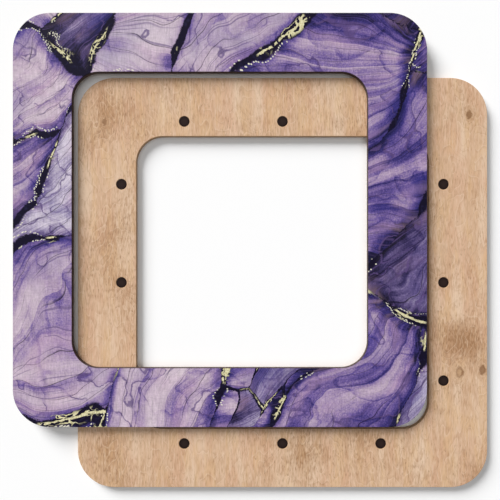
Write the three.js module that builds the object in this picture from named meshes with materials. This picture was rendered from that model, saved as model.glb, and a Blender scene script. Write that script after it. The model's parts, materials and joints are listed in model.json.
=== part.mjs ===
// Square magnetic embroidery hoop: two plywood frames that trap the fabric between them.
// The hoop lies flat. +Z is up, +X is to the right and +Y is to the top of the finished picture.
// The origin is on the table, half way between the centres of the two frames.
// The front frame lies on the back frame, fanned out towards the top left, as it is handed over.
import * as THREE from "three";

// Driving sizes, in millimetres
const windowSize = 143; // clear opening of either frame
const borderWidth = 28.5; // from the window to the outer edge
const windowRadius = 13; // corners of the window
const outerRadius = 18; // corners of the outer edge
const faceVeneer = 0.85; // each outside ply of the plywood
const coreVeneer = 1.2; // the middle ply, laid across the others
const glueLine = 0.05; // adhesive film between plies, and under each magnet
const fabricGap = 0.3; // room for the fabric between the two frames
const fanOut = 30.4; // how far the front frame is shifted to the left, and as far to the top

const magnetDiameter = 5;
const magnetThickness = 2;
const magnetChamfer = 0.25;
const magnetClearance = 0.1; // between a magnet and its pocket, on the radius
const magnetInset = 7.2; // from the window's edge to a magnet's centre
const magnetSpacing = 48; // from one magnet to the next along a side
const magnetsPerSide = 3;

const cornerSteps = 8; // half the straight steps in each rounded corner
const roundSteps = 20; // straight steps round a magnet or its pocket

// Sizes worked out from those above
const frameSize = windowSize + 2 * borderWidth;
const frameThickness = 2 * faceVeneer + coreVeneer + 2 * glueLine;
const pocketRadius = magnetDiameter / 2 + magnetClearance;
const magnetRing = windowSize / 2 + magnetInset; // from the frame's centre to a row of magnets

// Finishes
const bareVeneer = new THREE.MeshStandardMaterial({ color: 0xd0a983, roughness: 0.62, metalness: 0 });
const innerVeneer = new THREE.MeshStandardMaterial({ color: 0xb98d63, roughness: 0.75, metalness: 0 });
const printedVeneer = new THREE.MeshStandardMaterial({ color: 0x85719b, roughness: 0.5, metalness: 0 });
const blackCoating = new THREE.MeshStandardMaterial({ color: 0x1c191b, roughness: 0.35, metalness: 0.3 });

// A square with rounded corners, centred on the frame, drawn into a Shape or a Path.
function drawRoundedSquare(outline, size, radius) {
  const half = size / 2;
  const straight = half - radius;
  outline.moveTo(-straight, -half);
  outline.lineTo(straight, -half);
  outline.absarc(straight, -straight, radius, -Math.PI / 2, 0, false);
  outline.lineTo(half, straight);
  outline.absarc(straight, straight, radius, 0, Math.PI / 2, false);
  outline.lineTo(-straight, half);
  outline.absarc(-straight, straight, radius, Math.PI / 2, Math.PI, false);
  outline.lineTo(-half, -straight);
  outline.absarc(-straight, -straight, radius, Math.PI, 1.5 * Math.PI, false);
  outline.closePath();
  return outline;
}

// The magnets' places on a frame: three along each side, at the same places on both frames.
function magnetPlaces() {
  const sides = [
    { side: "top", along: [1, 0], out: [0, 1] },
    { side: "right", along: [0, -1], out: [1, 0] },
    { side: "bottom", along: [-1, 0], out: [0, -1] },
    { side: "left", along: [0, 1], out: [-1, 0] },
  ];
  const places = [];
  for (const { side, along, out } of sides) {
    for (let n = 0; n < magnetsPerSide; n++) {
      const offset = (n - (magnetsPerSide - 1) / 2) * magnetSpacing;
      places.push({
        name: `${side}_${n + 1}`,
        x: along[0] * offset + out[0] * magnetRing,
        y: along[1] * offset + out[1] * magnetRing,
      });
    }
  }
  return places;
}

// The rim of one magnet's pocket, as a polygon with its own number of steps.
function pocketRim({ x, y }) {
  const rim = [];
  for (let i = 0; i < roundSteps; i++) {
    const turn = (2 * Math.PI * i) / roundSteps;
    rim.push(new THREE.Vector2(x + pocketRadius * Math.cos(turn), y + pocketRadius * Math.sin(turn)));
  }
  return new THREE.Path(rim);
}

// One ply of a frame. The magnets' pockets pass through every ply but the outermost one.
function plyGeometry(thickness, hasPockets) {
  const outline = drawRoundedSquare(new THREE.Shape(), frameSize, outerRadius);
  outline.holes.push(drawRoundedSquare(new THREE.Path(), windowSize, windowRadius));
  if (hasPockets) {
    outline.holes.push(...magnetPlaces().map(pocketRim));
  }
  return new THREE.ExtrudeGeometry(outline, {
    depth: thickness,
    bevelEnabled: false,
    curveSegments: cornerSteps,
  });
}

// A disc magnet standing on its lower face, with both rims chamfered.
function magnetGeometry() {
  const radius = magnetDiameter / 2;
  const profile = [
    [0, 0],
    [radius - magnetChamfer, 0],
    [radius, magnetChamfer],
    [radius, magnetThickness - magnetChamfer],
    [radius - magnetChamfer, magnetThickness],
    [0, magnetThickness],
  ].map(([x, y]) => new THREE.Vector2(x, y));
  return new THREE.LatheGeometry(profile, roundSteps).rotateX(Math.PI / 2);
}

function addPart(group, name, geometry, material, x, y, z) {
  const mesh = new THREE.Mesh(geometry, material);
  mesh.name = name;
  mesh.position.set(x, y, z);
  group.add(mesh);
}

// The back frame: bare plywood, lying with its magnets up, towards the front frame.
function backFrame() {
  const group = new THREE.Group();
  const coreHeight = faceVeneer + glueLine;
  const matingHeight = coreHeight + coreVeneer + glueLine;
  addPart(group, "back_frame_rear_veneer", plyGeometry(faceVeneer, false), bareVeneer, 0, 0, 0);
  addPart(group, "back_frame_core_veneer", plyGeometry(coreVeneer, true), innerVeneer, 0, 0, coreHeight);
  addPart(group, "back_frame_mating_veneer", plyGeometry(faceVeneer, true), bareVeneer, 0, 0, matingHeight);
  const magnetHeight = faceVeneer + glueLine;
  for (const { name, x, y } of magnetPlaces()) {
    addPart(group, `back_magnet_${name}`, magnetGeometry(), blackCoating, x, y, magnetHeight);
  }
  group.position.set(fanOut / 2, -fanOut / 2, 0);
  return group;
}

// The front frame: the same plywood with a printed face up and its magnets down, towards the back frame.
function frontFrame() {
  const group = new THREE.Group();
  const coreHeight = faceVeneer + glueLine;
  const printHeight = coreHeight + coreVeneer + glueLine;
  addPart(group, "front_frame_mating_veneer", plyGeometry(faceVeneer, true), bareVeneer, 0, 0, 0);
  addPart(group, "front_frame_core_veneer", plyGeometry(coreVeneer, true), innerVeneer, 0, 0, coreHeight);
  addPart(group, "front_frame_printed_veneer", plyGeometry(faceVeneer, false), printedVeneer, 0, 0, printHeight);
  const magnetHeight = printHeight - glueLine - magnetThickness;
  for (const { name, x, y } of magnetPlaces()) {
    addPart(group, `front_magnet_${name}`, magnetGeometry(), blackCoating, x, y, magnetHeight);
  }
  group.position.set(-fanOut / 2, fanOut / 2, frameThickness + fabricGap);
  return group;
}

const hoop = new THREE.Group();
hoop.add(backFrame());
hoop.add(frontFrame());

export default hoop;
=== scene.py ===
# A square magnetic embroidery hoop, fanned out: a printed plywood frame lying on a bare one.
# Sizes are in metres, and those of patterns in millimetres. Both frames lie flat, with their straight
# sides along X and Y.
import json
import math

import bmesh
import bpy
from mathutils import Matrix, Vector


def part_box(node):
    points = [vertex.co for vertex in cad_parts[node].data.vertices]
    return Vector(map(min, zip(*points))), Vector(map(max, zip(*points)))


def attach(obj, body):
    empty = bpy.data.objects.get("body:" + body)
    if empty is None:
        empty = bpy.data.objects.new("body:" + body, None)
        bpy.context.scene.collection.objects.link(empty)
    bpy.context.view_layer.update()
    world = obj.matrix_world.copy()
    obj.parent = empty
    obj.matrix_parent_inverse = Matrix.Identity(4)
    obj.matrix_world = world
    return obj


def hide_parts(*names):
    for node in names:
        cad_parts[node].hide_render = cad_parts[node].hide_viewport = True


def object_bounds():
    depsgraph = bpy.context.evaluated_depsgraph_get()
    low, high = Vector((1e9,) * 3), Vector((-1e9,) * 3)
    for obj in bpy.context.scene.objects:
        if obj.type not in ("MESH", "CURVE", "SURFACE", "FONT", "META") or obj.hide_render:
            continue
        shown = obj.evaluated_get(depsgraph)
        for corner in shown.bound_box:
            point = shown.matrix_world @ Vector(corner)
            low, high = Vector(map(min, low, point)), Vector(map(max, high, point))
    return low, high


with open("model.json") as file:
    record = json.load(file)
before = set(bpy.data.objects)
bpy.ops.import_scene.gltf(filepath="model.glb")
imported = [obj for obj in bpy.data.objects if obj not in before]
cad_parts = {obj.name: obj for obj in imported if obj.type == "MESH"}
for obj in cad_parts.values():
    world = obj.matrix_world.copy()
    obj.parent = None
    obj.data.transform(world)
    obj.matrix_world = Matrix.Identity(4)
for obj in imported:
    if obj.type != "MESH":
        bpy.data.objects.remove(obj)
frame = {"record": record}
cad_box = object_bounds()
MM = 0.001

# Back frame
# A sheet of three-ply birch, 3 mm thick. A router cuts the outline, the window and twelve round pockets,
# and the middle ply lies across the other two. The cut edges are end grain in places, which is browner,
# and a light sanding takes the sharpness off the rims.
WINDOW_SIZE = 143 * MM
WINDOW_RADIUS = 13 * MM
OUTER_RADIUS = 18 * MM
CORNER_STEPS = 24
POCKET_RADIUS = 2.6 * MM
POCKET_STEPS = 40
SANDED_RIM = 0.16 * MM
SANDED_STEPS = 2
SHARP_ANGLE = math.radians(60)  # an edge is a sharp rim if its faces turn by more than this
LEVEL_FACE = 0.99  # how upright the normal of a level face is, at least
RIM_FADE = ((0.25 * MM, 0.45), (0.7 * MM, 0.0))  # distance from a cut, and how much of its brown is left
BODIES = frame["record"]["behaviour"]["bodies"]
MAGNETS = {body: [node for node in nodes if "_magnet_" in node] for body, nodes in BODIES.items()}


def draw_cut(sheet, size, radius, centre):
    """Draws a square with rounded corners on the sheet, as the cutter follows it."""
    corners = bmesh.ops.create_grid(
        sheet, x_segments=1, y_segments=1, size=size / 2, matrix=Matrix.Translation(centre)
    )["verts"]
    bmesh.ops.bevel(
        sheet, geom=corners, offset=radius, offset_type="OFFSET", segments=CORNER_STEPS,
        profile=0.5, affect="VERTICES", material=-1,
    )
    bmesh.ops.delete(sheet, geom=sheet.faces[:], context="FACES_ONLY")


def draw_pockets(sheet, magnets, level):
    """Draws the pockets for some magnets on the sheet."""
    for magnet in magnets:
        low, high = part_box(magnet)
        centre = (low + high) / 2
        centre.z = level
        bmesh.ops.create_circle(
            sheet, cap_ends=False, segments=POCKET_STEPS, radius=POCKET_RADIUS,
            matrix=Matrix.Translation(centre),
        )


def mark_rims(sheet):
    """Adds narrow strips along every cut, over which the brown of the cut edge fades."""
    rim = sheet.verts.layers.float.new("rim")
    for vert in sheet.verts:
        vert[rim] = 1.0
    inside = sheet.faces[:]
    reached = 0.0
    for distance, left in RIM_FADE:
        bmesh.ops.inset_region(sheet, faces=inside, use_boundary=True, thickness=distance - reached)
        reached = distance
        for face in inside:
            for vert in face.verts:
                vert[rim] = left


def sand_rims(sheet, level):
    """Eases the sharp rims that lie at a level."""
    rims = []
    for edge in sheet.edges:
        at_level = all(abs(vert.co.z - level) < SANDED_RIM for vert in edge.verts)
        if at_level and edge.calc_face_angle(0) > SHARP_ANGLE:
            rims.append(edge)
    bmesh.ops.bevel(
        sheet, geom=rims, offset=SANDED_RIM, offset_type="OFFSET", segments=SANDED_STEPS,
        profile=0.5, affect="EDGES", material=-1,
    )


def finish_piece(name, mesh, node, body, material):
    """Makes the mesh a piece that rides on a body and stands for one CAD node."""
    bmesh.ops.recalc_face_normals(mesh, faces=mesh.faces[:])
    for face in mesh.faces:
        face.smooth = abs(face.normal.z) < LEVEL_FACE
    data = bpy.data.meshes.new(name)
    mesh.to_mesh(data)
    mesh.free()
    data.materials.append(material)
    piece = bpy.data.objects.new(name, data)
    bpy.context.scene.collection.objects.link(piece)
    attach(piece, body)
    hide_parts(node)


def cut_ply(name, node, body, material, pockets=False, sanded=None):
    """Cuts one ply to the size of its CAD node. The rims of its sanded face, top or bottom, are eased."""
    low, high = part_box(node)
    centre = (low + high) / 2
    centre.z = low.z
    sheet = bmesh.new()
    draw_cut(sheet, high.x - low.x, OUTER_RADIUS, centre)
    draw_cut(sheet, WINDOW_SIZE, WINDOW_RADIUS, centre)
    if pockets:
        draw_pockets(sheet, MAGNETS[body], low.z)
    bmesh.ops.triangle_fill(sheet, use_beauty=True, edges=sheet.edges[:], normal=(0, 0, 1))
    mark_rims(sheet)
    raised = bmesh.ops.extrude_face_region(sheet, geom=sheet.faces[:])["geom"]
    upper = [item for item in raised if isinstance(item, bmesh.types.BMVert)]
    bmesh.ops.translate(sheet, verts=upper, vec=(0, 0, high.z - low.z))
    if sanded:
        sand_rims(sheet, high.z if sanded == "top" else low.z)
    finish_piece(name, sheet, node, body, material)


def linear(colour):
    """The linear colour of an sRGB hex value."""
    shares = [int(colour[i:i + 2], 16) / 255 for i in (1, 3, 5)]
    return [c / 12.92 if c <= 0.04045 else ((c + 0.055) / 1.055) ** 2.4 for c in shares] + [1]


def add(tree, kind, links=(), stops=(), **settings):
    """Adds a node with its settings. Links gives its sockets, in order or by name, values or the nodes
    that feed them, and stops gives a ramp its colours."""
    node = tree.nodes.new("ShaderNode" + kind)
    for name, value in settings.items():
        setattr(node, name, value)
    sockets = [socket for socket in node.inputs if socket.enabled]
    for key, value in links.items() if isinstance(links, dict) else enumerate(links):
        socket = sockets[key] if isinstance(key, int) else next(s for s in sockets if s.name == key)
        if isinstance(value, bpy.types.Node):
            value = next(output for output in value.outputs if output.enabled)
        if isinstance(value, bpy.types.NodeSocket):
            tree.links.new(value, socket)
        else:
            socket.default_value = value
    for n, (position, colour) in enumerate(stops):
        ramp = node.color_ramp.elements
        element = ramp[n] if n < len(ramp) else ramp.new(1.0)
        element.position = position
        element.color = linear(colour)
    return node


def new_finish(name):
    """A material with nothing in it yet, and its node tree."""
    material = bpy.data.materials.new(name)
    material.use_nodes = True
    material.node_tree.nodes.clear()
    return material, material.node_tree


def finish_surface(tree, colour, roughness, gloss, height, strength, depth):
    """Ends a material: its colour, its roughness, how much it mirrors, and how deep its relief is. The
    refractive index stays at 1.5, which is about right for wood, for epoxy and for dry ink."""
    bump = add(tree, "Bump", {"Height": height, "Strength": strength, "Distance": depth})
    look = {"Base Color": colour, "Roughness": roughness, "Specular IOR Level": gloss, "Normal": bump}
    shader = add(tree, "BsdfPrincipled", look)
    add(tree, "OutputMaterial", {"Surface": shader})


# Birch veneer is pale tan, with a straight grain: soft bands of pink and honey, short thin fibres and
# dark pores, fine pale lines where a year's growth ends, a faint flame where the log grew crooked, and
# here and there a ragged pin knot. A fibre is a few hundredths of a millimetre wide, too fine to show, so
# each streak stands for a bundle of them.
BIRCH = "#d0ad8e"
BIRCH_PALE = "#dfc3a8"
BIRCH_DEEP = "#a67d5a"
BIRCH_PINK = "#cfa284"
BIRCH_HONEY = "#d8b383"
FLAME = "#aa8059"
PORE = "#86613f"
KNOT = "#7b5739"
KNOT_HEART = "#c09c78"
END_GRAIN = "#b48e68"
CUT_EDGE = "#c6a07a"
BIRCH_GLOSS = 0.16
BARE_ROUGHNESS = (0.66, 0.8)  # of the smoothest and the roughest fibres
FIBRE_DEPTH = 0.05 * MM
RELIEF = 0.3
NOISE_SPAN = (0.3, 0.7)  # noise seldom leaves this span
NOISE_MIDDLE = 0.5

# How wide and how long one streak of each kind is, in millimetres
GROWTH_BAND = (6, 150)
PINK_BAND = (9, 26)
HONEY_BAND = (4, 18)
YEAR_RISE = (13, 34)
FLAME_PATCH = (26, 38)
FIBRE = (0.6, 4)
PALE_FIBRE = (0.6, 6)
PORE_SIZE = (0.55, 2)
GRAIN_BEND = (45, 110)
BEND_REACH = 7  # how far the grain leaves the straight
YEAR_STEP = 0.06  # from one year line to the next, in heights of the noise whose contours they are

# Where in its pattern each colour starts to show and where it is in full, and its share there
GROWTH_TINT = (0.3, 0.6, 1.0)
PINK_TINT = (0.4, 0.68, 0.5)
HONEY_TINT = (0.46, 0.66, 0.35)
YEAR_DARK_TINT = (YEAR_STEP - 0.02, YEAR_STEP, 0.2)
YEAR_PALE_TINT = (0.009, 0.0, 0.42)
FLAME_TINT = (0.54, 0.8, 0.55)
FIBRE_TINT = (0.64, 0.98, 0.6)
PALE_FIBRE_TINT = (0.5, 0.72, 0.55)
PORE_TINT = (0.9, 1.1, 0.5)
CUT_EDGE_TINT = (0.1, 1.0, 0.45)
END_GRAIN_TINT = (0.3, 0.9, 0.5)

# How much a flame at a set place adds to the pattern of flames, and any flame to fibres and to pores
FLAME_RISE = 0.42
FIBRE_CROWDING = 0.5
PORE_CROWDING = 0.6

# A knot is longer along the grain, and its edge is dented. Its rings lie at distances in knots.
KNOT_WIDTH = 0.72  # for a length of 1
KNOT_REACH = 3.5  # how far out the grain bends round it
KNOT_PULL = 0.8  # how strongly the grain bends
DENT_SIZE = 1.7
DENT_REACH = 1.5
HALO_RINGS = (3.4, 1.2)  # where the brown round it starts to show, and where it is in full
HALO_SHARE = 0.4
DARK_RINGS = (1.5, 0.8)
HEART_RINGS = (0.8, 0.3)


def in_millimetres(tree):
    """Where a place is on the object, in millimetres, which every pattern is worked out in."""
    sheet = add(tree, "TexCoord").outputs["Object"]
    return add(tree, "Mapping", {"Vector": sheet, "Scale": [1 / MM] * 3})


def streaks(tree, place, size, along, detail=2.0, roughness=0.5):
    """Noise stretched along the grain. Size is how wide and how long one streak is."""
    wide, long = size
    scale = [1 / wide] * 3
    scale[along] = 1 / long
    stretched = add(tree, "Mapping", {"Vector": place, "Scale": scale})
    settings = {"Vector": stretched, "Scale": 1.0, "Detail": detail, "Roughness": roughness}
    return add(tree, "TexNoise", settings)


def tint(tree, colour, other, pattern, low, high, share):
    """Mixes another colour in, up to a share, as a pattern rises from low to high."""
    factor = add(tree, "MapRange", (pattern, low, high, 0.0, share), interpolation_type="SMOOTHSTEP")
    return add(tree, "Mix", (factor, colour, linear(other)), data_type="RGBA")


def swirl(tree, place, size, reach, detail=2.0):
    """Moves places by noise of a size. Most move by about the reach, and none by more than twice that."""
    noise = add(tree, "TexNoise", {"Vector": place, "Scale": 1 / size, "Detail": detail})
    links = (noise.outputs["Color"], [2 * reach] * 3, place)
    return add(tree, "VectorMath", links, operation="MULTIPLY_ADD")


def repeat(tree, value, spacing):
    """How far a value has come since the last of its even steps."""
    steps = add(tree, "Math", (value, 1 / spacing), operation="MULTIPLY")
    past = add(tree, "Math", (steps,), operation="FRACT")
    return add(tree, "Math", (past, spacing), operation="MULTIPLY")


def bend_grain(tree, place, along):
    """Lets the grain wander sideways a little."""
    wander = streaks(tree, place, GRAIN_BEND, along)
    sideways = [BEND_REACH] * 3
    sideways[along] = 0
    return add(tree, "VectorMath", (wander.outputs["Color"], sideways, place), operation="MULTIPLY_ADD")


def grow_knot(tree, place, here, x, y, size):
    """Bends the grain round a knot. Gives the bent place, and how far the knot is, in knots."""
    apart = add(tree, "VectorMath", (here, (x, y, 0)), operation="SUBTRACT")
    dented = swirl(tree, apart, DENT_SIZE, DENT_REACH)
    dented = add(tree, "VectorMath", (dented, (DENT_REACH, DENT_REACH, 0)), operation="SUBTRACT")
    flat = add(tree, "VectorMath", (dented, (1 / size, KNOT_WIDTH / size, 0)), operation="MULTIPLY")
    distance = add(tree, "VectorMath", (flat,), operation="LENGTH")
    fading = (distance, 0.0, KNOT_REACH, -KNOT_PULL, 0.0)
    pull = add(tree, "MapRange", fading, interpolation_type="SMOOTHSTEP")
    bend = add(tree, "VectorMath", {0: apart, "Scale": pull}, operation="SCALE")
    return add(tree, "VectorMath", (place, bend), operation="ADD"), distance


def grow_years(tree, place, along):
    """The colour of the years' growth, and how far a place is past the last year line."""
    bands = streaks(tree, place, GROWTH_BAND, along)
    colour = tint(tree, linear(BIRCH_PALE), BIRCH, bands, *GROWTH_TINT)
    colour = tint(tree, colour, BIRCH_PINK, streaks(tree, place, PINK_BAND, along), *PINK_TINT)
    colour = tint(tree, colour, BIRCH_HONEY, streaks(tree, place, HONEY_BAND, along), *HONEY_TINT)
    rise = streaks(tree, place, YEAR_RISE, along, detail=1.5)
    year = repeat(tree, rise, YEAR_STEP)
    return tint(tree, colour, BIRCH_DEEP, year, *YEAR_DARK_TINT), year


def grow_flames(tree, place, shift, along, flames):
    """The pattern of flames: patches here and there, and others at set places."""
    flame = streaks(tree, place, FLAME_PATCH, along, detail=3.0)
    for x, y, reach in flames:
        centre = (x + shift[0], y + shift[1], 0)
        apart = add(tree, "VectorMath", (place, centre), operation="DISTANCE")
        fading = (apart, 0.0, reach, FLAME_RISE, 0.0)
        near = add(tree, "MapRange", fading, interpolation_type="SMOOTHSTEP")
        flame = add(tree, "Math", (flame, near), operation="ADD")
    return flame


def grow_fibres(tree, colour, place, along, flame):
    """Dark fibres, pale ones and pores. Gives the new colour, and the dark fibres."""
    fibre = streaks(tree, place, FIBRE, along, detail=3.0, roughness=0.6)
    crowded = add(tree, "Math", (flame, FIBRE_CROWDING, fibre), operation="MULTIPLY_ADD")
    colour = tint(tree, colour, BIRCH_DEEP, crowded, *FIBRE_TINT)
    pale_fibre = streaks(tree, place, PALE_FIBRE, along)
    colour = tint(tree, colour, BIRCH_PALE, pale_fibre, *PALE_FIBRE_TINT)
    pore = streaks(tree, place, PORE_SIZE, along, detail=1.0)
    pore = add(tree, "Math", (flame, PORE_CROWDING, pore), operation="MULTIPLY_ADD")
    return tint(tree, colour, PORE, pore, *PORE_TINT), fibre


def colour_knots(tree, colour, grown):
    """Colours each knot, from the brown round it to its heart."""
    for distance, dark, heart in grown:
        colour = tint(tree, colour, FLAME, distance, *HALO_RINGS, HALO_SHARE * dark)
        colour = tint(tree, colour, KNOT, distance, *DARK_RINGS, dark)
        colour = tint(tree, colour, KNOT_HEART, distance, *HEART_RINGS, heart)
    return colour


def birch_grain(tree, shift, along=1, knots=(), flames=()):
    """The colour and the height of birch. Shift takes the piece from another part of the log."""
    here = in_millimetres(tree)
    place = add(tree, "VectorMath", (here, shift), operation="ADD")
    grown = []
    for x, y, size, dark, heart in knots:
        place, distance = grow_knot(tree, place, here, x, y, size)
        grown.append((distance, dark, heart))
    place = bend_grain(tree, place, along)
    colour, year = grow_years(tree, place, along)
    flame = grow_flames(tree, place, shift, along, flames)
    colour = tint(tree, colour, FLAME, flame, *FLAME_TINT)
    colour, fibre = grow_fibres(tree, colour, place, along, flame)
    colour = tint(tree, colour, BIRCH_PALE, year, *YEAR_PALE_TINT)
    return colour_knots(tree, colour, grown), fibre


def bare_birch(name, shift, along=1, knots=(), flames=()):
    """Bare sanded birch, which is dull. Its cut edges are browner, most of all on end grain."""
    material, tree = new_finish(name)
    colour, fibre = birch_grain(tree, shift, along, knots, flames)
    rim = add(tree, "Attribute", attribute_name="rim").outputs["Fac"]
    colour = tint(tree, colour, CUT_EDGE, rim, *CUT_EDGE_TINT)
    normal = add(tree, "TexCoord").outputs["Normal"]
    facing = add(tree, "SeparateXYZ", (normal,)).outputs[along]
    facing = add(tree, "Math", (facing,), operation="ABSOLUTE")
    colour = tint(tree, colour, END_GRAIN, facing, *END_GRAIN_TINT)
    roughness = add(tree, "MapRange", (fibre, *NOISE_SPAN, *BARE_ROUGHNESS))
    finish_surface(tree, colour, roughness, BIRCH_GLOSS, fibre, RELIEF, FIBRE_DEPTH)
    return material


# Which part of the log each ply is peeled from, in millimetres
REAR_PART = (340, 120, 0)
BACK_CORE_PART = (0, 210, 0)
BACK_MATING_PART = (0, 0, 0)
# Where the knots are on the frame, in millimetres, how large and dark each is, and how pale its heart is
BACK_KNOTS = (
    (106.4, 66.9, 1.2, 0.75, 0.1), (101.7, -58.9, 1.7, 0.55, 0.8),
    (112.9, -57.8, 1.3, 0.75, 0.1), (-71.7, 63.4, 0.9, 0.6, 0.0),
)
# Where its flames are, and how far each reaches
BACK_FLAMES = ((93, -41, 20), (109, -45, 17), (114, -108, 22))
cut_ply(
    "back_rear_ply", "back_frame_rear_veneer", "back_frame",
    bare_birch("sanded_birch_rear", REAR_PART), sanded="bottom",
)
cut_ply(
    "back_core_ply", "back_frame_core_veneer", "back_frame",
    bare_birch("cross_birch_back", BACK_CORE_PART, along=0), pockets=True,
)
cut_ply(
    "back_mating_ply", "back_frame_mating_veneer", "back_frame",
    bare_birch("sanded_birch_mating", BACK_MATING_PART, knots=BACK_KNOTS, flames=BACK_FLAMES),
    pockets=True, sanded="top",
)

# Magnets of the back frame
# Stock disc magnets, 5 mm across and 2 mm thick, coated with black epoxy so that they don't rust. Each is
# glued into its pocket a hair below the face.
MAGNET_STEPS = 40
MAGNET_RIM = 0.28 * MM
MAGNET_RIM_STEPS = 4
LIGHTER_MIDDLES = ((1.5 * MM, 0.5), (0.7 * MM, 1.0))  # distance from the middle, and how much lighter and greyer the coat is there
EPOXY = "#1a0e0c"
EPOXY_WORN = "#3a2a24"
EPOXY_MIDDLE = "#5a4742"
WORN_TINT = (0.6, 0.8, 0.4)
MIDDLE_TINT = (0.1, 0.6, 0.1)
EPOXY_GLOSS = 0.09
EPOXY_ROUGHNESS = (0.46, 0.66)  # where the coat is clean, and where it is dustiest
DUST_SIZE = 0.22  # of the specks, in millimetres
DUST_SPAN = (0.3, 0.8)
PEEL_SIZE = 0.5  # of the orange-peel skin, in millimetres
PEEL_DEPTH = 0.05 * MM


def black_epoxy():
    """Epoxy coating: almost black, half glossy, with a fine orange-peel skin, a little wear, and a lighter,
    greyer middle on each face.
    """
    material, tree = new_finish("black_epoxy")
    here = in_millimetres(tree)
    peel = add(tree, "TexNoise", {"Vector": here, "Scale": 1 / PEEL_SIZE, "Detail": 2.0})
    dust = add(tree, "TexNoise", {"Vector": here, "Scale": 1 / DUST_SIZE, "Detail": 3.0})
    colour = tint(tree, linear(EPOXY), EPOXY_WORN, dust, *WORN_TINT)
    face_middle = add(tree, "Attribute", attribute_name="face_middle").outputs["Fac"]
    face_middle = add(tree, "Math", (face_middle, dust), operation="MULTIPLY")
    colour = tint(tree, colour, EPOXY_MIDDLE, face_middle, *MIDDLE_TINT)
    roughness = add(tree, "MapRange", (dust, *DUST_SPAN, *EPOXY_ROUGHNESS))
    finish_surface(tree, colour, roughness, EPOXY_GLOSS, peel, RELIEF, PEEL_DEPTH)
    return material


def lighten_face_middles(disc, radius):
    """Marks the middle of both flat faces, where the coat is lighter and greyer."""
    face_middle = disc.verts.layers.float.new("face_middle")
    faces = [face for face in disc.faces if abs(face.normal.z) > LEVEL_FACE]
    for distance, middle_share in LIGHTER_MIDDLES:
        bmesh.ops.inset_individual(disc, faces=faces, thickness=radius - distance)
        radius = distance
        for face in faces:
            for vert in face.verts:
                vert[face_middle] = middle_share


def disc_magnet(node, body, material):
    """One magnet, with both rims rounded over."""
    low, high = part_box(node)
    radius = (high.x - low.x) / 2
    disc = bmesh.new()
    bmesh.ops.create_cone(
        disc, cap_ends=True, segments=MAGNET_STEPS, radius1=radius, radius2=radius,
        depth=high.z - low.z, matrix=Matrix.Translation((low + high) / 2),
    )
    rims = [edge for edge in disc.edges if edge.calc_face_angle(0) > SHARP_ANGLE]
    bmesh.ops.bevel(
        disc, geom=rims, offset=MAGNET_RIM, offset_type="OFFSET", segments=MAGNET_RIM_STEPS,
        profile=0.5, affect="EDGES", material=-1,
    )
    lighten_face_middles(disc, radius - MAGNET_RIM)
    finish_piece(f"{node}_disc", disc, node, body, material)


epoxy = black_epoxy()
for magnet in MAGNETS["back_frame"]:
    disc_magnet(magnet, "back_frame", epoxy)

# Front frame
# The same birch sheet, cut the same way, with its magnets underneath. Its outer ply has no pockets: the
# face that shows is printed by a flatbed machine with a marbled ink pattern, and the grain stays faintly
# visible. Its edges are painted a dark brown, as painted shade that stands for the shadow lines along them.
# The dark brown of its edges is painted shade
PAINTED_EDGE_SHADE = "#362b2d"
EDGE_SHADE_FIBRES = 0.35  # how much more of that painted shade some fibres take
EDGE_SHADE_TINT = (0.7, 1.05, 0.92)
DARK_EDGED_ROUGHNESS = (0.62, 0.76)


def dark_edged_birch(name, shift, along=1):
    """Sanded birch whose cut edges are painted a dark brown, as painted shade."""
    material, tree = new_finish(name)
    colour, fibre = birch_grain(tree, shift, along)
    rim = add(tree, "Attribute", attribute_name="rim").outputs["Fac"]
    shaded_edge = add(tree, "Math", (fibre, EDGE_SHADE_FIBRES, rim), operation="MULTIPLY_ADD")
    colour = tint(tree, colour, PAINTED_EDGE_SHADE, shaded_edge, *EDGE_SHADE_TINT)
    roughness = add(tree, "MapRange", (fibre, *NOISE_SPAN, *DARK_EDGED_ROUGHNESS))
    finish_surface(tree, colour, roughness, BIRCH_GLOSS, fibre, RELIEF, FIBRE_DEPTH)
    return material


FRONT_MATING_PART = (-500, 60, 0)
FRONT_CORE_PART = (80, -330, 0)
cut_ply(
    "front_mating_ply", "front_frame_mating_veneer", "front_frame",
    dark_edged_birch("dark_edged_birch_front", FRONT_MATING_PART), pockets=True, sanded="bottom",
)
cut_ply(
    "front_core_ply", "front_frame_core_veneer", "front_frame",
    dark_edged_birch("dark_edged_birch_core", FRONT_CORE_PART, along=0), pockets=True,
)

# The print imitates alcohol ink. Thinned violet ink lies in long sheets, and each dries in petals that
# fan out with fine streaks. Some sheets break up into small ones. Black veins run between them, with gold
# in the middle of some and cream beads along the sides of others. All its sizes are in millimetres.
PRINT_SHIFT = (-1750.0, 420.0, 0.0)  # which part of the endless pattern lies on the frame
SHEET_TURN = math.radians(58)
LARGE_SHEET = (105.0, 48.0)
SMALL_SHEET = (34.0, 15.0)
BROKEN_ABOVE = 0.84  # the chance above which a large sheet has broken up
THIN_VEIN = 2.4  # how many times thinner the veins between small sheets are
FAR_AWAY = 50.0  # how far off those veins are put where no sheet has broken up


def on_sheets(tree, place, size, step=(0, 0, 0)):
    """Places measured in sheets of a size, turned along them, seen a step away."""
    beside = add(tree, "VectorMath", (place, step), operation="ADD")
    settings = {"Vector": beside, "Rotation": (0, 0, SHEET_TURN), "Scale": (*size, 1)}
    return add(tree, "Mapping", settings, vector_type="TEXTURE")


def rim_distance(tree, place, size, step=(0, 0, 0)):
    """How far the rim of the nearest sheet is, seen a step away."""
    distance = add(
        tree, "TexVoronoi", {"Vector": on_sheets(tree, place, size, step), "Scale": 1.0},
        voronoi_dimensions="2D", feature="DISTANCE_TO_EDGE",
    )
    return add(tree, "Math", (distance, size[1]), operation="MULTIPLY")


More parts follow.
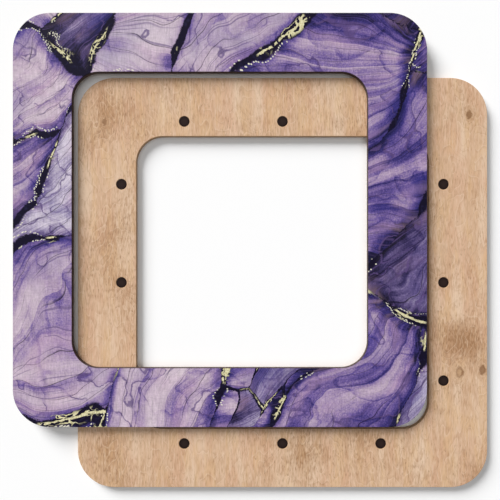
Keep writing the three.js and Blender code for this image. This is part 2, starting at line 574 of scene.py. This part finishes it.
def inside_sheet(tree, ragged, flow, size):
    """The three chances that the sheet round a place has drawn, and the place within that sheet."""
    settings = {"Vector": on_sheets(tree, ragged, size), "Scale": 1.0}
    sheets = add(tree, "TexVoronoi", settings, voronoi_dimensions="2D")
    from_middle = (on_sheets(tree, flow, size), sheets.outputs["Position"])
    within = add(tree, "VectorMath", from_middle, operation="SUBTRACT")
    return sheets.outputs["Color"], add(tree, "VectorMath", (within, (*size, 1)), operation="MULTIPLY")


def lay_sheets(tree, ragged, flow):
    """The sheet that a place is in, a long one or a small one where that has broken up: its chances, the
    place within it and how far its rim is."""
    chances, within = inside_sheet(tree, ragged, flow, LARGE_SHEET)
    small_chances, small_within = inside_sheet(tree, ragged, flow, SMALL_SHEET)
    fate = add(tree, "SeparateColor", (chances,)).outputs["Blue"]
    broken = add(tree, "Math", (fate, BROKEN_ABOVE), operation="GREATER_THAN")
    chances = add(tree, "Mix", (broken, chances, small_chances), data_type="RGBA")
    within = add(tree, "Mix", (broken, within, small_within), data_type="VECTOR")
    whole = add(tree, "Math", (1.0, broken), operation="SUBTRACT")
    put_off = add(tree, "Math", (whole, FAR_AWAY), operation="MULTIPLY")
    rim = rim_distance(tree, ragged, LARGE_SHEET)
    small_rim = rim_distance(tree, ragged, SMALL_SHEET)
    small_rim = add(tree, "Math", (small_rim, THIN_VEIN, put_off), operation="MULTIPLY_ADD")
    rim = add(tree, "Math", (rim, small_rim), operation="MINIMUM")
    return add(tree, "SeparateColor", (chances,)).outputs, within, rim


# The streaks of a sheet fan out from a point beyond one of its ends, and wave a little
FAN_REACH = 78.0  # from the middle of the sheet to that point
FAN_LEAN = 1.1  # the most that they lean from the sheet's length, in radians
WOBBLE_SIZE = 50  # how long the waves are
WOBBLE_REACH = 20.0  # how far they swing


def fan_out(tree, within, chance):
    """Turns places within a sheet into places along and across streaks that fan out from a point. They
    run along the sheet, give or take, towards one end or the other."""
    lean = add(tree, "Math", (chance["Blue"], FAN_LEAN), operation="MULTIPLY")
    end = add(tree, "Math", (chance["Green"],), operation="ROUND")
    end = add(tree, "Math", (end, math.pi, lean), operation="MULTIPLY_ADD")
    turned = add(tree, "VectorRotate", {"Vector": within, "Angle": end}, rotation_type="Z_AXIS")
    turned = add(tree, "SeparateXYZ", (turned,))
    along = add(tree, "Math", (turned.outputs["X"], FAN_REACH), operation="ADD")
    across = add(tree, "Math", (turned.outputs["Y"], along), operation="ARCTAN2")
    across = add(tree, "Math", (across, FAN_REACH), operation="MULTIPLY")
    fan = add(tree, "CombineXYZ", (along, across, 0.0))
    wobble = add(tree, "TexNoise", {"Vector": fan, "Scale": 1 / WOBBLE_SIZE, "Detail": 1.5})
    return fan, add(tree, "Math", (wobble, WOBBLE_REACH, across), operation="MULTIPLY_ADD")


# How much ink lies at a place runs from 0 to 1, and its colour follows from that
VIOLET_INK = (
    (0.0, "#d3c3cd"), (0.26, "#c0acbe"), (0.44, "#a28cae"),
    (0.6, "#6f5b97"), (0.76, "#3d3474"), (1.0, "#141230"),
)
DUSKY_INK = (
    (0.0, "#cfc5d4"), (0.26, "#9f93b1"), (0.5, "#685a86"),
    (0.74, "#382f58"), (1.0, "#151122"),
)
DUSKY_CHANCE = (0.68, 0.74)  # a sheet is violet below the first, and dusky above the second

# How much ink the palest and the darkest sheet hold, and what petals, streaks, washes and granules add
SHEET_CHANCE = (0.05, 0.95)  # that such sheets have drawn
SHEET_INK = (0.01, 0.58)
PETAL_WIDTH = 15.0
PETAL_RISE = 1.6  # the higher, the later a petal darkens
PETAL_INK = 0.2
BROAD_STREAK = (6, 60)
BROAD_INK = 0.13
FINE_STREAK = (0.8, 22)
FINE_INK = (0.1, 0.3)  # in violet sheets and in dusky ones
WASH_SIZE = 16.0
WASH_INK = 0.14
GRANULE_SIZE = 0.8
GRANULE_INK = 0.18
AROUND_ZERO = (-0.5, 0.5)  # fine streaks and granules take away as much as they add


def vary(tree, ink, pattern, amount):
    """Adds ink or takes it away, by up to an amount, as a pattern of noise rises and falls."""
    change = add(tree, "MapRange", (pattern, *NOISE_SPAN, -amount, amount))
    return add(tree, "Math", (ink, change), operation="ADD")


def pour_ink(tree, flow, fan, across, chance, dusky, granules):
    """How much ink lies at a place: from sheet to sheet, petal to petal and streak to streak."""
    ink = add(tree, "MapRange", (chance["Red"], *SHEET_CHANCE, *SHEET_INK))
    petal = repeat(tree, across, PETAL_WIDTH)
    petal = add(tree, "Math", (petal, 1 / PETAL_WIDTH), operation="MULTIPLY")
    petal = add(tree, "Math", (petal, PETAL_RISE), operation="POWER")
    ink = add(tree, "Math", (petal, PETAL_INK, ink), operation="MULTIPLY_ADD")
    ink = vary(tree, ink, streaks(tree, fan, BROAD_STREAK, 0), BROAD_INK)
    wash = add(tree, "TexNoise", {"Vector": flow, "Scale": 1 / WASH_SIZE, "Detail": 4.0})
    ink = vary(tree, ink, wash, WASH_INK)
    fine = streaks(tree, fan, FINE_STREAK, 0, detail=3.0, roughness=0.6)
    fine = add(tree, "MapRange", (fine, *NOISE_SPAN, *AROUND_ZERO))
    fine_share = add(tree, "MapRange", (dusky, 0.0, 1.0, *FINE_INK))
    ink = add(tree, "Math", (fine, fine_share, ink), operation="MULTIPLY_ADD")
    return add(tree, "Math", (granules, GRANULE_INK, ink), operation="MULTIPLY_ADD")


# Ink gathers on one side of a sheet's rim, and just inside the edges of patches that were wetted again.
# A place is in such a patch where the tide, a noise, is above its middle.
BLEED_STEP = (1.6, 1.2, 0)
BLEED_REACH = 7.0
BLEED_INK = 0.42
TIDE_SIZE = 14.0
TIDE_EDGE = (-0.008, 0.004)  # how soft a patch's edge is, in heights of the noise
POOL_REACH = 0.09
POOL_INK = 0.13


def pool_ink(tree, ink, ragged, tide):
    """Adds the ink that gathers along the rims of sheets and of wetted patches."""
    bleed = rim_distance(tree, ragged, LARGE_SHEET, BLEED_STEP)
    fading = (bleed, 0.0, BLEED_REACH, BLEED_INK, 0.0)
    bleed = add(tree, "MapRange", fading, interpolation_type="SMOOTHSTEP")
    ink = add(tree, "Math", (ink, bleed), operation="ADD")
    wetted = add(tree, "MapRange", (tide, *TIDE_EDGE))
    fading = (tide, 0.0, POOL_REACH, POOL_INK, 0.0)
    pooled = add(tree, "MapRange", fading, interpolation_type="SMOOTHSTEP")
    return add(tree, "Math", (wetted, pooled, ink), operation="MULTIPLY_ADD")


# Pink ink runs in streaks among the violet ones, and indigo ink lies in patches
PINK_INK = "#c9a3bd"
PINK_STREAK = (11, 26)
PINK_STREAK_TINT = (0.5, 0.7, 0.28)
INDIGO_INK = "#38358c"
INDIGO_PATCH = 45
INDIGO_TINT = (0.5, 0.75, 0.4)


def colour_ink(tree, ink, dusky, flow, fan):
    """The colour of that much ink: violet or dusky, with pink streaks and indigo patches."""
    violet = add(tree, "ValToRGB", (ink,), stops=VIOLET_INK)
    dark = add(tree, "ValToRGB", (ink,), stops=DUSKY_INK)
    shades = (dusky, violet.outputs["Color"], dark.outputs["Color"])
    colour = add(tree, "Mix", shades, data_type="RGBA")
    pink = streaks(tree, fan, PINK_STREAK, 0, detail=3.0)
    colour = tint(tree, colour, PINK_INK, pink, *PINK_STREAK_TINT)
    indigo = add(tree, "TexNoise", {"Vector": flow, "Scale": 1 / INDIGO_PATCH})
    return tint(tree, colour, INDIGO_INK, indigo, *INDIGO_TINT)


# Lines of ink: threads between the streaks, tide lines round the wetted patches, and black hairlines
# along the petals. The last two fade in and out along their length.
VEIN_INK = "#08031b"
TIDE_INK = "#5a4778"
THREAD = (0.7, 40)
THREAD_TINT = (0.58, 0.68, 0.6)
FADING_STREAK = (14, 34)
TIDE_LINE = (0.006, 0.018)  # from a line's full part to its end, in heights of the noise
TIDE_FADING = (0.46, 0.56)
TIDE_SHARE = 0.75
LINE_SPACING = 7.0
HAIRLINE = 0.42  # how wide one is
HAIRLINE_FADING = (0.34, 0.5)
HAIRLINE_MOST = 0.95  # of its width, where it is widest
HAIRLINE_SHARE = 0.85


def draw_tide_lines(tree, colour, tide, fading):
    """Dark lines where wetted patches end."""
    tide = add(tree, "Math", (tide,), operation="ABSOLUTE")
    tide = add(tree, "MapRange", (tide, *TIDE_LINE, 1.0, 0.0), interpolation_type="SMOOTHSTEP")
    dry = add(tree, "MapRange", (fading, *TIDE_FADING), interpolation_type="SMOOTHSTEP")
    tide = add(tree, "Math", (tide, dry), operation="MULTIPLY")
    return tint(tree, colour, TIDE_INK, tide, 0.0, 1.0, TIDE_SHARE)


def draw_hairlines(tree, colour, across, fading):
    """Fine black lines along the petals."""
    lines = repeat(tree, across, LINE_SPACING)
    lines = add(tree, "MapRange", (lines, 0.0, HAIRLINE, 1.0, 0.0), interpolation_type="SMOOTHSTEP")
    shown = (fading, *HAIRLINE_FADING, 0.0, HAIRLINE_MOST)
    shown = add(tree, "MapRange", shown, interpolation_type="SMOOTHSTEP")
    lines = add(tree, "Math", (lines, shown), operation="MULTIPLY")
    return tint(tree, colour, VEIN_INK, lines, 0.0, 1.0, HAIRLINE_SHARE)


def draw_lines(tree, colour, fan, across, tide):
    """Fine dark threads between the streaks, tide lines, and hairlines along the petals."""
    thread = streaks(tree, fan, THREAD, 0, detail=1.5)
    colour = tint(tree, colour, TIDE_INK, thread, *THREAD_TINT)
    fading = streaks(tree, fan, FADING_STREAK, 0)
    colour = draw_tide_lines(tree, colour, tide, fading)
    return draw_hairlines(tree, colour, across, fading)


# Veins are black, with a little violet sheen in them
VEIN_SHEEN = "#232040"
SHEEN_PATCH = 2.4
SHEEN_TINT = (0.52, 0.75, 0.6)
VEIN_PATCH = 22.0  # how far apart veins turn from thick to thin
VEIN_SPAN = (0.4, 0.72)  # of the noise that makes them thick or thin
VEIN_WIDTH = (0.14, 3.2)  # from a sheet's rim to the edge of the thinnest and the thickest vein
GILDED_EXTRA = 0.7  # how much wider a vein with gold is
VEIN_CORE = 0.7  # the share of its width that is fully black
VEIN_FRAY = 0.9  # how ragged its edge is


def draw_veins(tree, colour, flow, ragged, rim, granules, gilded):
    """Black veins along the rims of the sheets, thick and thin, with ragged edges. Gives the new colour,
    how wide the vein is and whether a place is in it."""
    wide = add(tree, "TexNoise", {"Vector": flow, "Scale": 1 / VEIN_PATCH, "Detail": 1.0})
    wide = add(tree, "MapRange", (wide, *VEIN_SPAN, *VEIN_WIDTH), interpolation_type="SMOOTHSTEP")
    wide = add(tree, "Math", (gilded, GILDED_EXTRA, wide), operation="MULTIPLY_ADD")
    core = add(tree, "Math", (wide, VEIN_CORE), operation="MULTIPLY")
    frayed = add(tree, "Math", (granules, VEIN_FRAY, rim), operation="MULTIPLY_ADD")
    vein = add(tree, "MapRange", (frayed, core, wide, 1.0, 0.0), interpolation_type="SMOOTHSTEP")
    sheen = add(tree, "TexNoise", {"Vector": ragged, "Scale": 1 / SHEEN_PATCH, "Detail": 3.0})
    vein_colour = tint(tree, linear(VEIN_INK), VEIN_SHEEN, sheen, *SHEEN_TINT)
    return add(tree, "Mix", (vein, colour, vein_colour), data_type="RGBA"), wide, vein


# The beads are round and cream, in rows along both sides of a vein
BEAD_INK = "#ddd8c6"
BEAD_SPACING = 1.15
BEAD_DISORDER = 0.6
BEAD_EDGE = (0.28, 0.38)  # from a bead's full part to its end, in spacings
BEAD_OFFSET = 0.1  # how far outside its vein a row of beads lies
BEAD_ROW = 0.34  # how far from that a bead may lie
BEAD_PATCH = 26.0  # how far apart beads come and go
BEADED_SPAN = (0.54, 0.6)
THICK_VEIN = (0.5, 0.8)  # the veins that beads start to line, and those that they line in full


def lay_beads(tree, place, flow, wide):
    """Cream beads along both edges of some veins, where these are thick."""
    settings = {"Vector": flow, "Scale": 1 / BEAD_SPACING, "Randomness": BEAD_DISORDER}
    beads = add(tree, "TexVoronoi", settings, voronoi_dimensions="2D")
    bead = add(tree, "MapRange", (beads, *BEAD_EDGE, 1.0, 0.0), interpolation_type="SMOOTHSTEP")
    rim = rim_distance(tree, beads.outputs["Position"], LARGE_SHEET)
    beside = add(tree, "Math", (rim, wide), operation="SUBTRACT")
    in_row = add(tree, "Math", (beside, BEAD_OFFSET, BEAD_ROW), operation="COMPARE")
    beaded = add(tree, "TexNoise", {"Vector": place, "Scale": 1 / BEAD_PATCH, "Detail": 0.0})
    beaded = add(tree, "MapRange", (beaded, *BEADED_SPAN), interpolation_type="SMOOTHSTEP")
    thick = add(tree, "MapRange", (wide, *THICK_VEIN))
    beaded = add(tree, "Math", (beaded, thick), operation="MULTIPLY")
    bead = add(tree, "Math", (bead, in_row), operation="MULTIPLY")
    return add(tree, "Math", (bead, beaded), operation="MULTIPLY")


# Gold is printed too, so it is a pale yellow ink and not a metal
GOLD_INK = "#e2dbb4"
GOLD_DEEP = "#b3a870"
GOLD_TINT = (0.3, 1.0, 0.7)
GOLD_GRAIN = (-0.4, 0.4)  # of the granules that shade it
GOLD_PATCH = 19.0  # how far apart gold comes and goes
GILDED_SPAN = (0.55, 0.6)
FLAKE = 2.2
FLAKE_SPAN = (0.4, 0.44)
ROPE_EDGE = (0.34, 0.5)  # how far from a sheet's rim a rope of flakes starts to fade, and ends
SPILT_SPAN = (0.62, 0.67)
SPILT_EDGE = (1.6, 2.8)  # the same of spilt gold
SCRIBBLE = 4.2
SCRIBBLE_OUTLINE = (0.065, 0.08)  # from its full part to its end, in heights of the noise
SCRIBBLE_GOLD = (0.038, 0.048)
OUTLINE_SHARE = 0.9


def lay_rope(tree, ragged, rim, gilded):
    """Where gold flakes lie like a rope in the middle of a vein."""
    flakes = add(tree, "TexNoise", {"Vector": ragged, "Scale": 1 / FLAKE, "Detail": 1.5})
    flakes = add(tree, "MapRange", (flakes, *FLAKE_SPAN), interpolation_type="SMOOTHSTEP")
    in_vein = add(tree, "MapRange", (rim, *ROPE_EDGE, 1.0, 0.0), interpolation_type="SMOOTHSTEP")
    rope = add(tree, "Math", (flakes, in_vein), operation="MULTIPLY")
    return add(tree, "Math", (rope, gilded), operation="MULTIPLY")


def spill_gold(tree, ragged, rim, gold_noise):
    """Where gold is scribbled beside a vein, and where the dark outline of that is."""
    spilt = add(tree, "MapRange", (gold_noise, *SPILT_SPAN), interpolation_type="SMOOTHSTEP")
    near_vein = add(tree, "MapRange", (rim, *SPILT_EDGE, 1.0, 0.0), interpolation_type="SMOOTHSTEP")
    spilt = add(tree, "Math", (spilt, near_vein), operation="MULTIPLY")
    settings = {"Vector": ragged, "Scale": 1 / SCRIBBLE, "Detail": 0.6, "Distortion": 0.7}
    scribble = add(tree, "TexNoise", settings)
    scribble = add(tree, "Math", (scribble, NOISE_MIDDLE), operation="SUBTRACT")
    scribble = add(tree, "Math", (scribble,), operation="ABSOLUTE")
    outline = (scribble, *SCRIBBLE_OUTLINE, 1.0, 0.0)
    outline = add(tree, "MapRange", outline, interpolation_type="SMOOTHSTEP")
    outline = add(tree, "Math", (outline, spilt), operation="MULTIPLY")
    gold = add(tree, "MapRange", (scribble, *SCRIBBLE_GOLD, 1.0, 0.0), interpolation_type="SMOOTHSTEP")
    return add(tree, "Math", (gold, spilt), operation="MULTIPLY"), outline


def lay_gold(tree, colour, ragged, rim, granules, gold_noise, gilded):
    """Gold in the middle of some veins, and spilt beside others. Gives the new colour and the gold."""
    rope = lay_rope(tree, ragged, rim, gilded)
    gold, outline = spill_gold(tree, ragged, rim, gold_noise)
    colour = tint(tree, colour, VEIN_INK, outline, 0.0, 1.0, OUTLINE_SHARE)
    gold = add(tree, "Math", (gold, rope), operation="MAXIMUM")
    shade = add(tree, "MapRange", (granules, *GOLD_GRAIN), interpolation_type="SMOOTHSTEP")
    gold_colour = tint(tree, linear(GOLD_INK), GOLD_DEEP, shade, *GOLD_TINT)
    return add(tree, "Mix", (gold, colour, gold_colour), data_type="RGBA"), gold


# How wide the swirls are that move the wet ink, and how far each moves it, from the broadest to the finest
DRIFT = (90, 40)
CURL = (24, 5)
FRAY = (1.5, 0.6)
VEIN_RELIEF = 0.5  # how thick a vein lies, where gold and beads are 1


def draw_print(tree, here):
    """The printed pattern: its colour, and how thick the ink lies."""
    place = add(tree, "VectorMath", (here, PRINT_SHIFT), operation="ADD")
    drift = swirl(tree, place, *DRIFT, detail=1.0)
    flow = swirl(tree, drift, *CURL)
    ragged = swirl(tree, flow, *FRAY)
    chance, within, rim = lay_sheets(tree, ragged, flow)
    fan, across = fan_out(tree, within, chance)
    settings = {"Vector": here, "Scale": 1 / GRANULE_SIZE, "Detail": 3.0, "Roughness": 0.7}
    granules = add(tree, "TexNoise", settings)
    granules = add(tree, "MapRange", (granules, *NOISE_SPAN, *AROUND_ZERO))
    tide = add(tree, "TexNoise", {"Vector": ragged, "Scale": 1 / TIDE_SIZE, "Detail": 1.5})
    tide = add(tree, "Math", (tide, NOISE_MIDDLE), operation="SUBTRACT")

    dusky = add(tree, "MapRange", (chance["Green"], *DUSKY_CHANCE))
    ink = pour_ink(tree, flow, fan, across, chance, dusky, granules)
    ink = pool_ink(tree, ink, ragged, tide)
    colour = colour_ink(tree, ink, dusky, flow, fan)
    colour = draw_lines(tree, colour, fan, across, tide)
    gold_noise = add(tree, "TexNoise", {"Vector": place, "Scale": 1 / GOLD_PATCH, "Detail": 1.0})
    gilded = add(tree, "MapRange", (gold_noise, *GILDED_SPAN), interpolation_type="SMOOTHSTEP")
    colour, wide, vein = draw_veins(tree, colour, flow, ragged, rim, granules, gilded)
    bead = lay_beads(tree, place, flow, wide)
    colour = tint(tree, colour, BEAD_INK, bead, 0.0, 1.0, 1.0)
    colour, gold = lay_gold(tree, colour, ragged, rim, granules, gold_noise, gilded)
    thick = add(tree, "Math", (gold, bead), operation="ADD")
    return colour, add(tree, "Math", (vein, VEIN_RELIEF, thick), operation="MULTIPLY_ADD")


# The grain and the printer's passes show through the ink, as streaks as coarse as they need to show
GRAIN_STREAK = (0.6, 4)
PRINTER_PASS = (0.7, 5)
PASS_SHARE = 0.4  # what a pass adds, where a streak of grain adds 1
GRAIN_SPAN = (0.46, 0.94)
GRAIN_SHADE = (0.76, 1.16)  # what the grain multiplies the ink's colour by
GRAIN_RELIEF = 0.8
# Where the painted shade on the cut edges starts to show, where it is in full, and its share
PRINT_EDGE_SHADE_TINT = (0.7, 1.0, 0.92)
ROUGH_SPAN = (0.5, 0.9)
INK_ROUGHNESS = (0.58, 0.7)
INK_GLOSS = 0.08
INK_RELIEF = 0.35
INK_DEPTH = 0.06 * MM


def printed_birch():
    """Birch with ink on its face, and a painted shade of dark brown on its edges. The grain shows through
    the ink as upright streaks, and the printer's passes as fainter level ones."""
    material, tree = new_finish("printed_birch")
    here = in_millimetres(tree)
    colour, thick = draw_print(tree, here)
    grain = streaks(tree, here, GRAIN_STREAK, 1, detail=3.0, roughness=0.7)
    passes = streaks(tree, here, PRINTER_PASS, 0, detail=2.0)
    grain = add(tree, "Math", (passes, PASS_SHARE, grain), operation="MULTIPLY_ADD")
    shade = add(tree, "MapRange", (grain, *GRAIN_SPAN, *GRAIN_SHADE))
    shade = add(tree, "CombineXYZ", (shade, shade, shade))
    colour = add(tree, "Mix", (1.0, colour, shade), data_type="RGBA", blend_type="MULTIPLY")
    # Its cut edges are painted dark, as painted shade
    edge = add(tree, "Attribute", attribute_name="rim").outputs["Fac"]
    colour = tint(tree, colour, PAINTED_EDGE_SHADE, edge, *PRINT_EDGE_SHADE_TINT)
    height = add(tree, "Math", (grain, GRAIN_RELIEF, thick), operation="MULTIPLY_ADD")
    roughness = add(tree, "MapRange", (grain, *ROUGH_SPAN, *INK_ROUGHNESS))
    finish_surface(tree, colour, roughness, INK_GLOSS, height, INK_RELIEF, INK_DEPTH)
    return material


cut_ply(
    "front_printed_ply", "front_frame_printed_veneer", "front_frame",
    printed_birch(), sanded="top",
)

# Magnets of the front frame
# The same epoxy-coated discs, glued into its underside, so that each meets one of the back frame's when
# the hoop is closed, with the fabric between them.
for magnet in MAGNETS["front_frame"]:
    disc_magnet(magnet, "front_frame", epoxy)

# Camera, light and floor
# The camera looks straight down at the printed face from close by, so the inner sides of the windows show
# as narrow lines and the lower frame looks a little smaller.
CAMERA_HEIGHT = 265 * MM
VIEW_WIDTH = 241.25 * MM  # what the picture takes in at the printed face
CAMERA_X = -0.7 * MM
CAMERA_Y = 0.7 * MM
SENSOR_WIDTH = 36  # in millimetres, as Blender has it
CLIP_START = 10 * MM
camera_data = bpy.data.cameras.new("camera")
camera_data.sensor_width = SENSOR_WIDTH
camera_data.lens = SENSOR_WIDTH * CAMERA_HEIGHT / VIEW_WIDTH
camera_data.clip_start = CLIP_START
camera = bpy.data.objects.new("camera", camera_data)
camera.location = (CAMERA_X, CAMERA_Y, cad_box[1].z + CAMERA_HEIGHT)
bpy.context.scene.collection.objects.link(camera)
bpy.context.scene.camera = camera

# A soft lamp stands low to the upper left, a wider one hangs overhead, and the room is evenly white. What
# each gives a level face is its share of full daylight.
SIDE_SHARE = 0.68
SIDE_ELEVATION = math.radians(25)
SIDE_AZIMUTH = math.radians(131)
SIDE_WIDTH = math.radians(30)
OVERHEAD_SHARE = 0.26
OVERHEAD_WIDTH = math.radians(60)
ROOM_SHARE = 0.1


def soft_lamp(name, share, elevation, azimuth, width):
    """A lamp far away, as wide as it looks from the table."""
    lamp_data = bpy.data.lights.new(name, "SUN")
    lamp_data.energy = share * math.pi / math.sin(elevation)
    lamp_data.angle = width
    lamp = bpy.data.objects.new(name, lamp_data)
    lamp.rotation_euler = (math.pi / 2 - elevation, 0, azimuth + math.pi / 2)
    bpy.context.scene.collection.objects.link(lamp)


def seen_or_lit(tree, lit, seen):
    """One value where the eye, a mirror or glass sees a thing, and another where only its light arrives."""
    rays = add(tree, "LightPath").outputs
    looked_at = add(tree, "Math", (rays["Is Camera Ray"], rays["Is Glossy Ray"]), operation="ADD")
    looked_at = add(tree, "Math", (looked_at, rays["Is Transmission Ray"]), operation="ADD")
    return add(tree, "MapRange", (looked_at, 0.0, 1.0, lit, seen))


soft_lamp("side_lamp", SIDE_SHARE, SIDE_ELEVATION, SIDE_AZIMUTH, SIDE_WIDTH)
soft_lamp("overhead_lamp", OVERHEAD_SHARE, math.pi / 2, 0, OVERHEAD_WIDTH)
white_room = bpy.data.worlds.new("white_room")
white_room.use_nodes = True
white_room.node_tree.nodes.clear()
bpy.context.scene.world = white_room
strength = seen_or_lit(white_room.node_tree, ROOM_SHARE, 1.0)
background = add(white_room.node_tree, "Background", {"Color": (1, 1, 1, 1), "Strength": strength})
add(white_room.node_tree, "OutputWorld", {"Surface": background})

# The table is nearly white where it is seen, and throws back most of its light on the wood above it
TABLE_SEEN = 0.95
TABLE_BOUNCE = 0.8
TABLE_LEVEL = -0.05 * MM
TABLE_HALF = 2.0
table_mesh = bmesh.new()
bmesh.ops.create_grid(
    table_mesh, x_segments=1, y_segments=1, size=TABLE_HALF,
    matrix=Matrix.Translation((0, 0, TABLE_LEVEL)),
)
table_data = bpy.data.meshes.new("white_table")
table_mesh.to_mesh(table_data)
table_mesh.free()
table = bpy.data.objects.new("white_table", table_data)
white_table, tree = new_finish("white_table")
shade = seen_or_lit(tree, TABLE_BOUNCE, TABLE_SEEN)
table_colour = add(tree, "CombineXYZ", (shade, shade, shade))
table_surface = add(tree, "BsdfDiffuse", {"Color": table_colour})
add(tree, "OutputMaterial", {"Surface": table_surface})
table_data.materials.append(white_table)
bpy.context.scene.collection.objects.link(table)

bpy.context.scene.view_settings.view_transform = "Standard"
